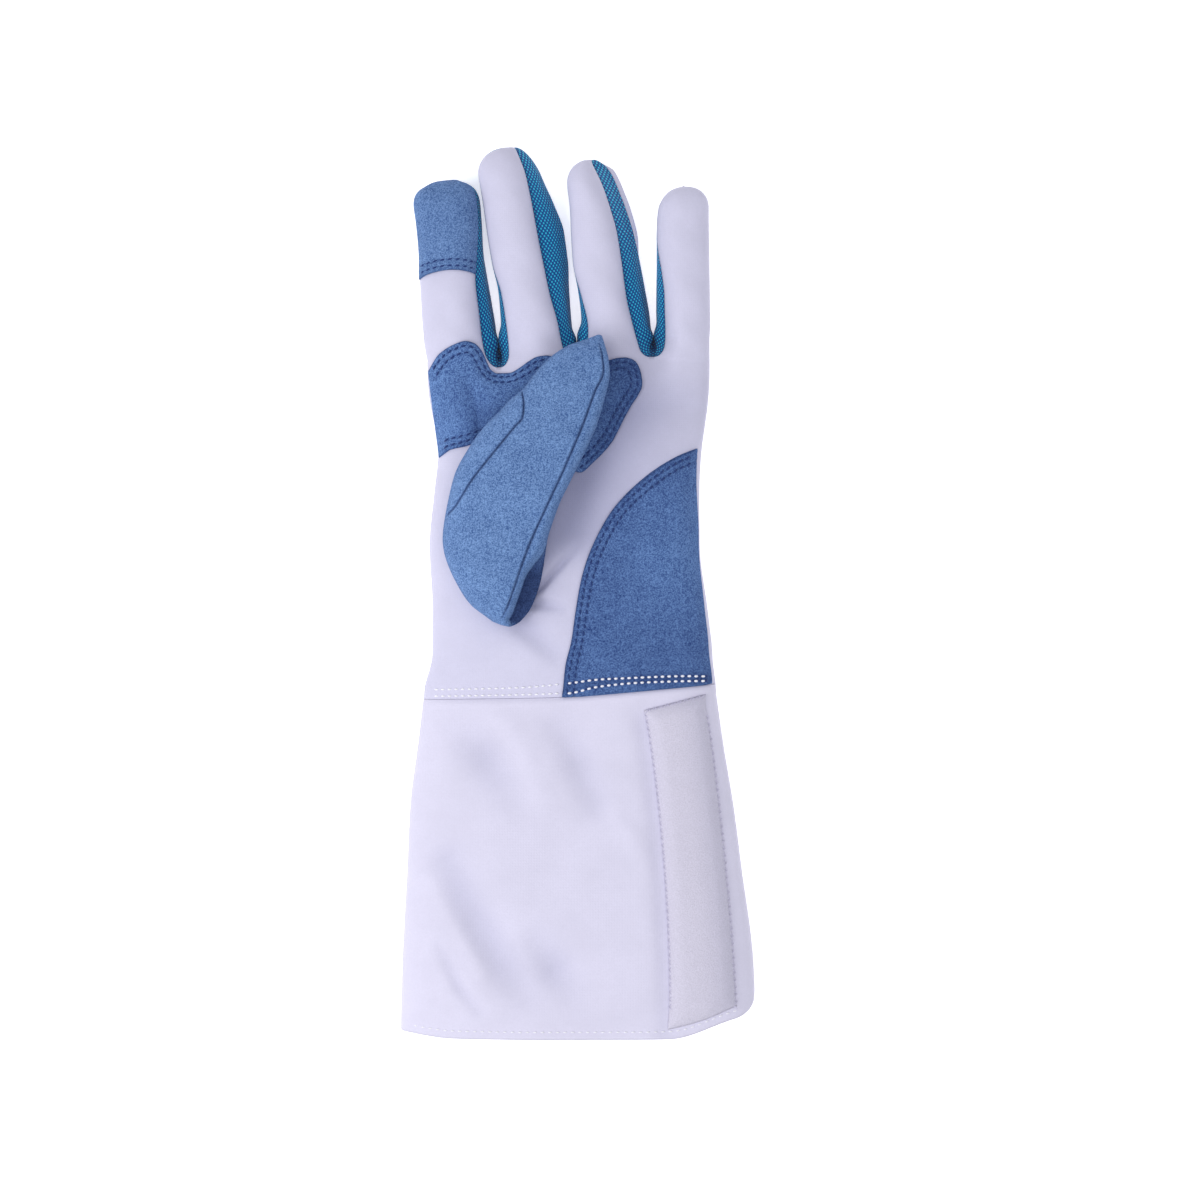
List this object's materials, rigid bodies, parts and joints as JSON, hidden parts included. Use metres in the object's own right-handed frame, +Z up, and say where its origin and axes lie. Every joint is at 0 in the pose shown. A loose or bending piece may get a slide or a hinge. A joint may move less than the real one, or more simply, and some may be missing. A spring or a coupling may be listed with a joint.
{
  "type": "fencing glove",
  "caption": "Left fencing glove, palm up, with suede patches, mesh gussets between the fingers, a suede thumb folded over the palm and a flared open cuff with loop tape.",
  "frame": {"origin": "centre of the bounding box at the surface that the glove lies on", "axes": "+Y from the cuff to the fingertips, +Z up out of the palm, +X from the index finger's side to the little finger's side"},
  "size_m": [0.1472, 0.3676, 0.0422],
  "materials": {
    "white_fabric": "matte",
    "cuff_fabric": "matte",
    "teal_mesh": "matte",
    "blue_suede": "matte",
    "loop_tape": "matte"
  },
  "bodies": {
    "root": {"palm_panel": "white_fabric", "back_panel": "white_fabric", "gusset_index_middle": "teal_mesh", "gusset_middle_ring": "teal_mesh", "gusset_ring_little": "teal_mesh", "index_tip_patch": "blue_suede", "palm_patch": "blue_suede", "heel_patch": "blue_suede", "cuff_front": "cuff_fabric", "cuff_back": "cuff_fabric", "closure_tape": "loop_tape", "thumb_front": "blue_suede", "thumb_back": "blue_suede"}
  },
  "joints": []
}
